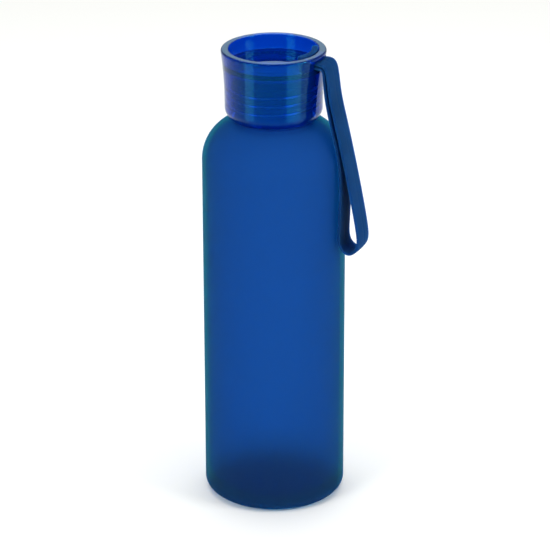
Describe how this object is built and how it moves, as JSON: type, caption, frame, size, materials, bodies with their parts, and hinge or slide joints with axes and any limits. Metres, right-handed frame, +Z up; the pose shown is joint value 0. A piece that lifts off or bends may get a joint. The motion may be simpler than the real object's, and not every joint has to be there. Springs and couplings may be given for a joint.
{
  "type": "glass water bottle",
  "caption": "Frosted glass water bottle with a clear screw lid, a seal ring and a soft carry strap looped through the lid's rim.",
  "frame": {"origin": "middle of the flat base, on the surface the bottle stands on", "axes": "+Z up along the bottle's axis, +X towards the side where the strap hangs, +Y to complete a right-handed frame"},
  "size_m": [0.0768, 0.065, 0.216],
  "materials": {
    "frosted_glass": "satin",
    "clear_lid": "gloss",
    "silicone_strap": "matte",
    "silicone_seal": "matte"
  },
  "bodies": {
    "bottle": {"glass_bottle": "frosted_glass"},
    "lid_lifter": {"lid_seal": "silicone_seal"},
    "lid": {"lid": "clear_lid", "strap_head": "silicone_strap"},
    "strap": {"strap_loop": "silicone_strap"}
  },
  "joints": [
    {"name": "lid_lift", "type": "slide", "parent": "bottle", "child": "lid_lifter", "axis": [0, 0, 1], "range_m": [0, 0.024]},
    {"name": "lid_turn", "type": "hinge", "parent": "lid_lifter", "child": "lid", "pos_m": [0, 0, 0.2], "axis": [0, 0, 1], "range_deg": [0, 2159]},
    {"name": "strap_swing", "type": "hinge", "parent": "lid", "child": "strap", "pos_m": [0.0271, 0, 0.2113], "axis": [0, -1, 0], "range_deg": [0, 165]}
  ],
  "couplings": [
    {"joint": "lid_lift", "follows": "lid_turn", "m_per_rad": 0.00063662}
  ]
}
